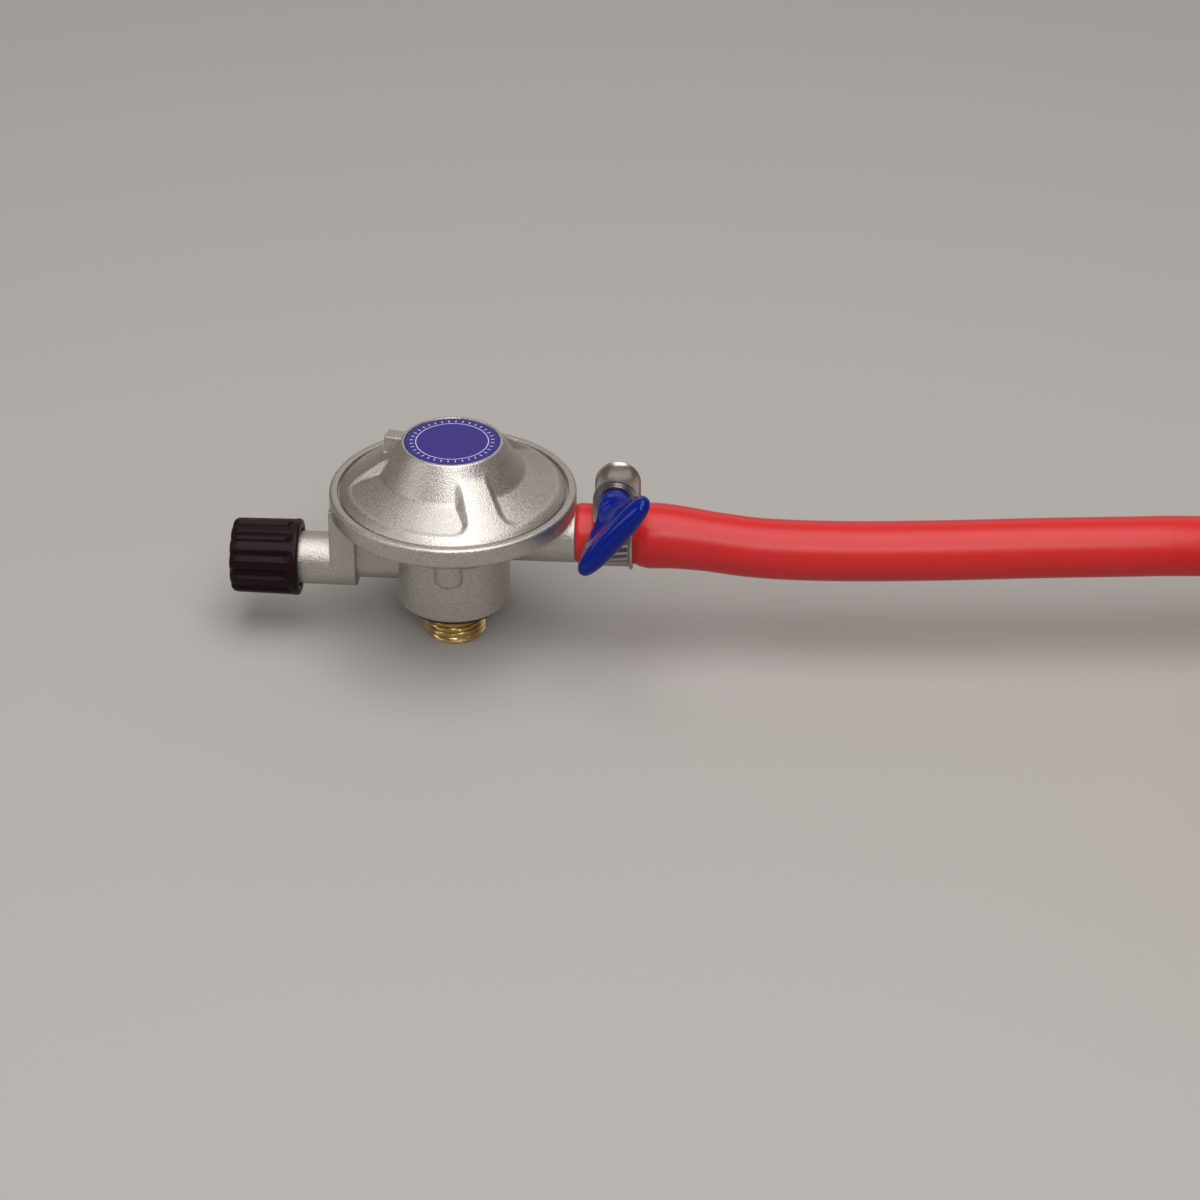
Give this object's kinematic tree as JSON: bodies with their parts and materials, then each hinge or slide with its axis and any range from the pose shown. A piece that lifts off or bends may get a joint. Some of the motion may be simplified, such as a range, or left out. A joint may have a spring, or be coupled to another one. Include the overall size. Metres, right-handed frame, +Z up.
{
  "type": "propane regulator hose",
  "caption": "Low-pressure gas regulator with a shut-off knob and a screw-in bottle thread, with a red hose clamped to its outlet by a worm-drive clamp with a wing key.",
  "frame": {"origin": "on the axis of the bottle thread, at the thread's free end, which is also the level that the part stands on", "axes": "+Z up along the thread's axis, -X along the shut-off spindle towards the knob, +X along the outlet towards the hose, -Y towards the clamp key"},
  "size_m": [0.4366, 0.1934, 0.0567],
  "materials": {
    "zinc": "die-cast zinc, satin, slightly sparkling",
    "blue_disc": "printed blue disc, bare but for a plain ring",
    "brass": "turned brass",
    "steel": "bright zinc-plated steel",
    "rubber": "black nitrile rubber",
    "dark_plastic": "dark brown-black plastic, semi-gloss",
    "blue_plastic": "deep blue plastic, semi-gloss",
    "red_hose": "bright red rubber, satin"
  },
  "bodies": {
    "regulator": {"lower_body": "zinc", "bonnet": "zinc", "cover_disc": "blue_disc", "adjuster": "brass", "main_spring": "steel", "lever_pin": "steel", "orifice_jet": "brass", "inlet_stub": "brass", "inlet_seal": "rubber", "inlet_filter": "brass", "gland_nut": "brass", "hose_cuff": "red_hose", "hose_run": "red_hose", "hose_coil": "red_hose", "hose_end": "red_hose", "clamp_band": "steel", "clamp_housing": "steel", "end_clamp_band": "steel", "end_clamp_housing": "steel"},
    "diaphragm_group": {"spring_cup": "steel", "diaphragm": "rubber", "stem": "brass", "backing_plate": "steel"},
    "seat_lever": {"lever": "brass", "valve_pad": "rubber"},
    "knob_group": {"knob": "dark_plastic", "knob_screw": "steel", "spindle": "brass", "spindle_oring": "rubber"},
    "shutoff_plunger": {"plunger": "brass", "plunger_seal": "rubber"},
    "clamp_key_group": {"clamp_screw": "steel", "clamp_key": "blue_plastic"},
    "end_clamp_key_group": {"end_clamp_screw": "steel", "end_clamp_key": "blue_plastic"}
  },
  "joints": [
    {"name": "knob_turn", "type": "hinge", "parent": "regulator", "child": "knob_group", "pos_m": [-0.04885, 0, 0.0204], "axis": [-1, 0, 0], "range_deg": [0, 720]},
    {"name": "plunger_slide", "type": "slide", "parent": "regulator", "child": "shutoff_plunger", "axis": [-1, 0, 0], "range_m": [0, 0.002]},
    {"name": "diaphragm_travel", "type": "slide", "parent": "regulator", "child": "diaphragm_group", "axis": [0, 0, 1], "range_m": [0, 0.0012], "deforming": ["main_spring", "diaphragm"]},
    {"name": "lever_tilt", "type": "hinge", "parent": "regulator", "child": "seat_lever", "pos_m": [-0.009, 0, 0.0344], "axis": [0, -1, 0], "range_deg": [0, 7.7]},
    {"name": "clamp_screw_turn", "type": "hinge", "parent": "regulator", "child": "clamp_key_group", "pos_m": [0.0423, 0, 0.0437], "axis": [0, -1, 0], "range_deg": [0, 1080]},
    {"name": "end_clamp_screw_turn", "type": "hinge", "parent": "regulator", "child": "end_clamp_key_group", "pos_m": [0.26687, -0.15213, 0.0375], "axis": [-0.1564, 0.9877, 0], "range_deg": [0, 1080]}
  ],
  "couplings": [
    {"joint": "knob_turn", "follows": "plunger_slide", "rad_per_m": 6283.2},
    {"joint": "lever_tilt", "follows": "diaphragm_travel", "rad_per_m": 111.11}
  ]
}
